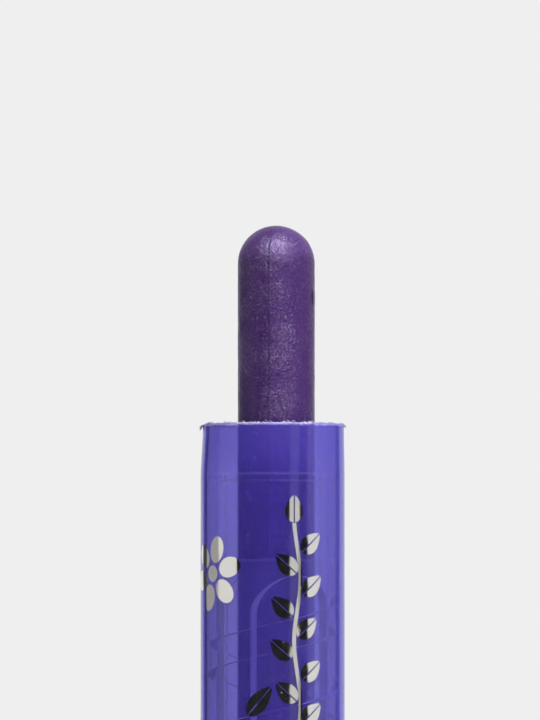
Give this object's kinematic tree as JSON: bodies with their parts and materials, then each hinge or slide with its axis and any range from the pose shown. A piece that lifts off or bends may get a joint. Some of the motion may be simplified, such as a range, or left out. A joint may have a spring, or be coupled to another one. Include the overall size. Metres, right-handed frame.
{
  "type": "twist crayon",
  "caption": "Round-tipped wax stick in a tinted translucent tube; turning the fluted base winds the stick out and back along an internal spiral.",
  "frame": {"origin": "centre of the flat ring under the base, on the surface that the crayon stands on", "axes": "+Z along the crayon towards its tip; -Y is the side that faces the camera in the picture"},
  "size_m": [0.015, 0.015, 0.1181],
  "materials": {
    "tinted_tube": "tinted translucent plastic, glossy, with a rough saw-cut rim",
    "clear_sleeve": "clear moulded plastic",
    "natural_cup": "natural milky plastic",
    "wax": "dark violet pigmented wax, waxy sheen, fine specks",
    "tinted_base": "tinted translucent plastic, glossy",
    "silver_foil": "hot-stamped silver foil"
  },
  "bodies": {
    "barrel": {"barrel_tube": "tinted_tube", "spiral_sleeve": "clear_sleeve"},
    "base": {"twist_base": "tinted_base", "guide_sleeve": "clear_sleeve"},
    "carrier": {"crayon_cup": "natural_cup", "crayon_stick": "wax"}
  },
  "joints": [
    {"name": "base_twist", "type": "hinge", "parent": "barrel", "child": "base", "pos_m": [0, 0, 0.016], "axis": [0, 0, 1], "range_deg": [-908, 964]},
    {"name": "crayon_feed", "type": "slide", "parent": "base", "child": "carrier", "axis": [0, 0, 1], "range_m": [-0.0227, 0.0241]}
  ],
  "couplings": [
    {"joint": "crayon_feed", "follows": "base_twist", "m_per_rad": 0.0014324}
  ]
}
